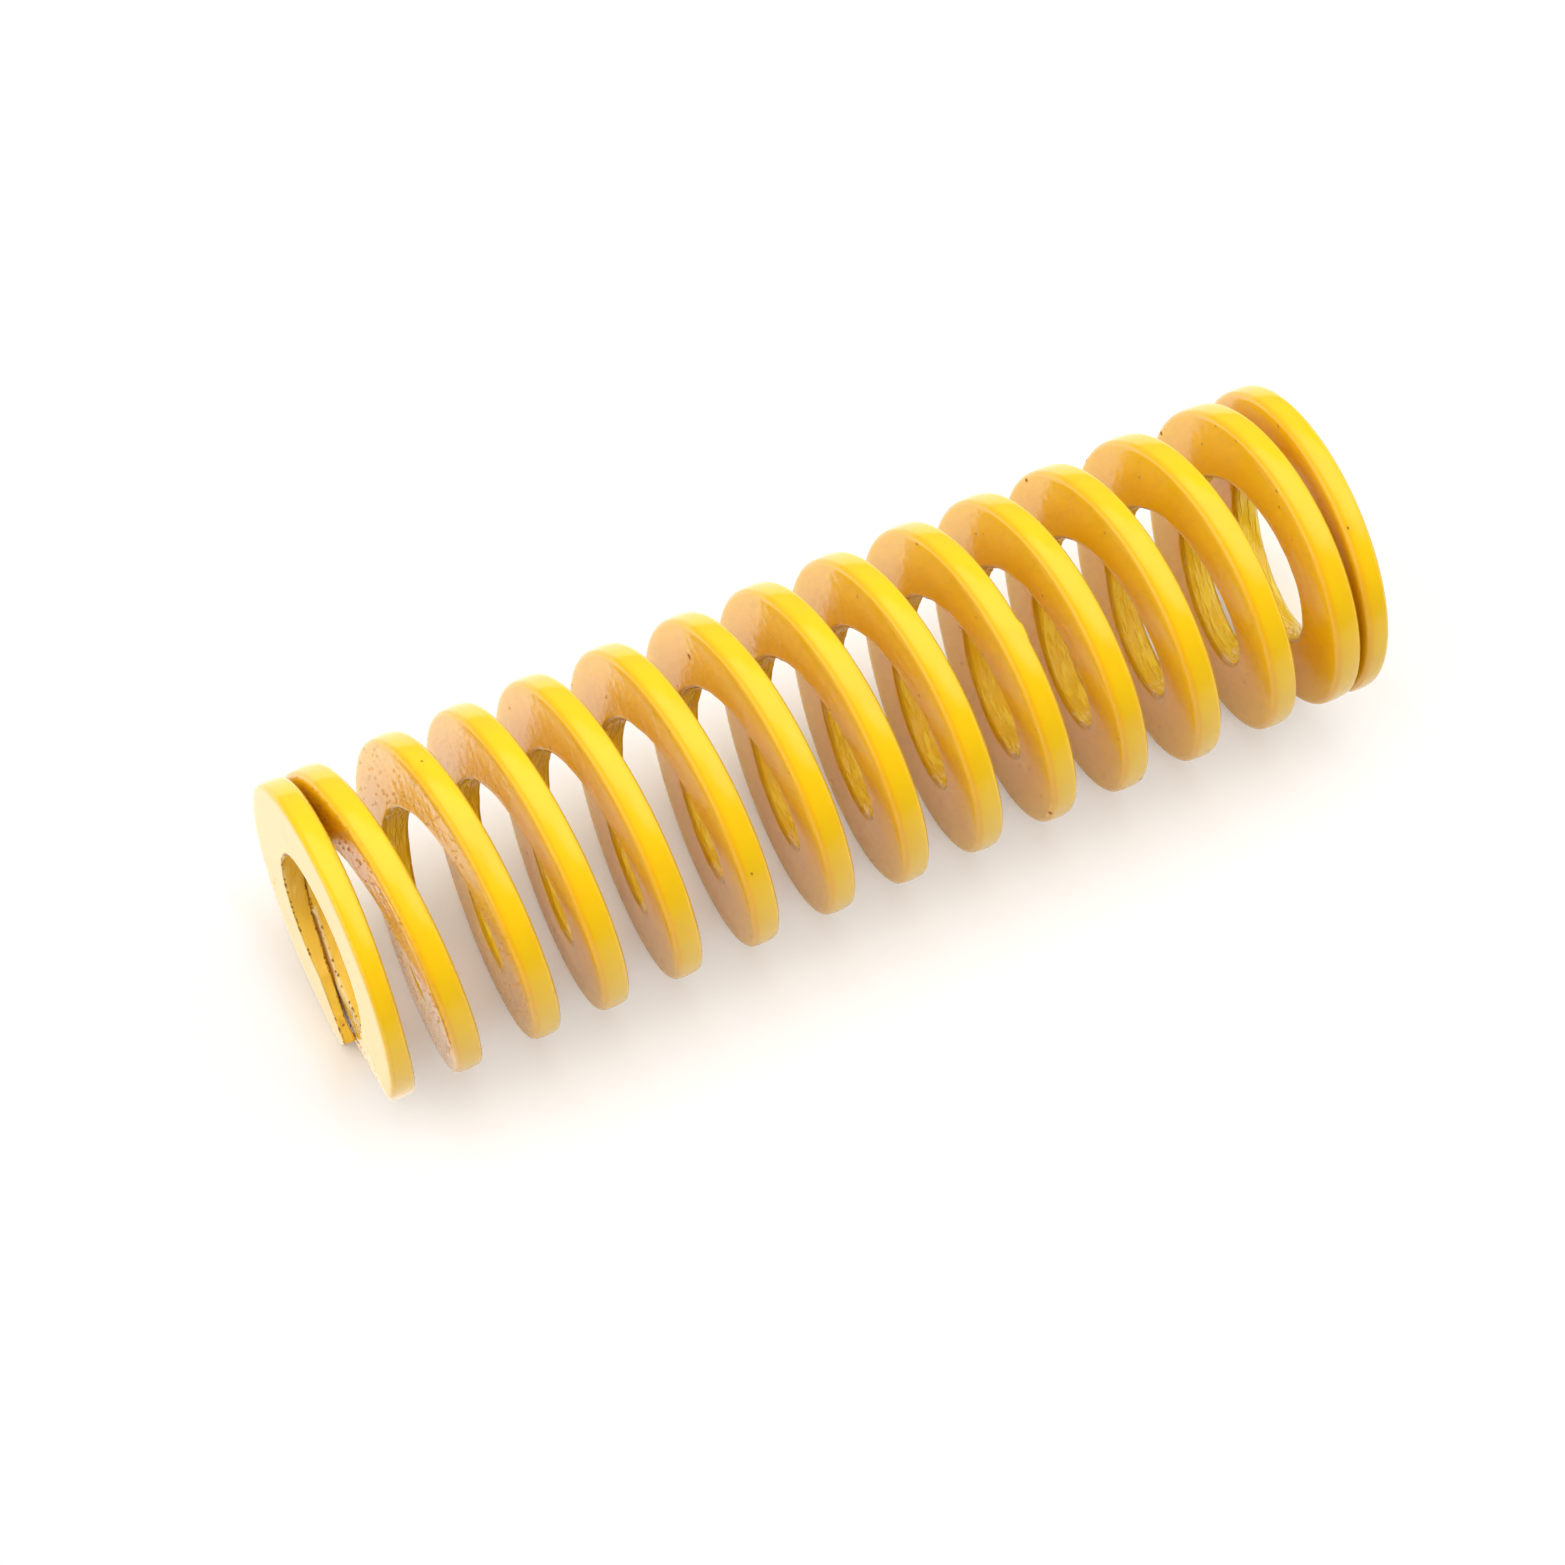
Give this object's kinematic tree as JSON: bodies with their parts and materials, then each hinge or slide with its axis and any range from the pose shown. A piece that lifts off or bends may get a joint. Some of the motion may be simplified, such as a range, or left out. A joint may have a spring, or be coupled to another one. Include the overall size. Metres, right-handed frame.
{
  "type": "die spring",
  "caption": "Helical compression die spring coiled from flat rectangular wire, with closed ground ends and an open bore for a guide rod, in glossy yellow paint.",
  "frame": {"origin": "centre of the bottom ground face, on the coil's axis", "axes": "+Z along the coil's axis, from the bottom ground face to the top one. The wire's top tip lies towards -Y, and the coil is right-handed."},
  "size_m": [0.0198, 0.0198, 0.065],
  "materials": {
    "yellow_paint": "glossy yellow paint over spring steel"
  },
  "bodies": {
    "root": {"spring": "yellow_paint"}
  },
  "joints": []
}
